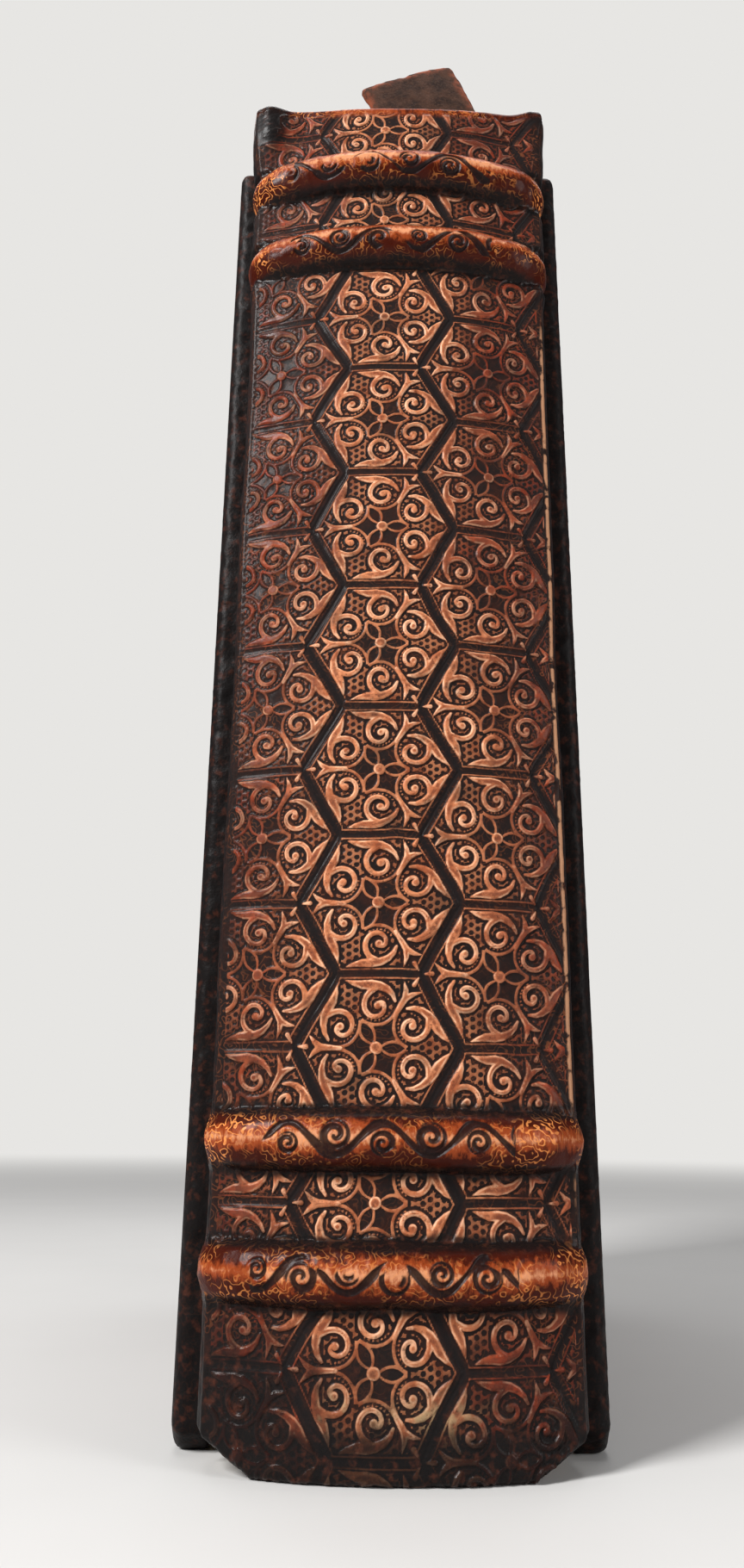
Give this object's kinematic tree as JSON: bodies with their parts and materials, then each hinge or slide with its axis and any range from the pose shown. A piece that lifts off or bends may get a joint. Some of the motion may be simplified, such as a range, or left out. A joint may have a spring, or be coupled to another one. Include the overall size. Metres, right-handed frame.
{
  "type": "antique leather book",
  "caption": "Thick old book bound in embossed leather, with raised bands on a hollow back, hinged covers and a leather slip tucked in at the head.",
  "frame": {"origin": "bottom centre of the book's box, on the surface that the tail stands on", "axes": "+Z from tail to head, -Y towards the spine, +Y towards the fore-edge, X through the book's thickness with the front cover at +X"},
  "size_m": [0.07, 0.175, 0.266],
  "materials": {
    "tooled_leather": "burnished and embossed",
    "cover_leather": "embossed, glossy, dark",
    "suede_leather": "matt suede, worn edges",
    "paper_edges": "aged page edges",
    "endpaper": "aged, matt",
    "lining_paper": "coarse, glued",
    "pulp_board": "raw board",
    "hemp_cord": "twisted cord",
    "endband_thread": "sewn thread"
  },
  "bodies": {
    "book_block": {"text_block": "paper_edges", "spine_lining": "lining_paper", "band_cord_1": "hemp_cord", "band_cord_2": "hemp_cord", "band_cord_3": "hemp_cord", "band_cord_4": "hemp_cord", "spine_leather": "tooled_leather", "head_endband": "endband_thread", "tail_endband": "endband_thread", "bookmark": "suede_leather", "front_flyleaf": "endpaper", "back_flyleaf": "endpaper"},
    "front_cover": {"front_board": "pulp_board", "front_cord_slips": "hemp_cord", "front_cover_leather": "cover_leather", "front_pastedown": "endpaper"},
    "back_cover": {"back_board": "pulp_board", "back_cord_slips": "hemp_cord", "back_cover_leather": "cover_leather", "back_pastedown": "endpaper"}
  },
  "joints": [
    {"name": "front_cover_hinge", "type": "hinge", "parent": "book_block", "child": "front_cover", "pos_m": [0.0285, -0.0725, 0.125], "axis": [0, 0, -1], "range_deg": [0, 105]},
    {"name": "back_cover_hinge", "type": "hinge", "parent": "book_block", "child": "back_cover", "pos_m": [-0.0285, -0.0725, 0.125], "axis": [0, 0, 1], "range_deg": [0, 105]}
  ]
}
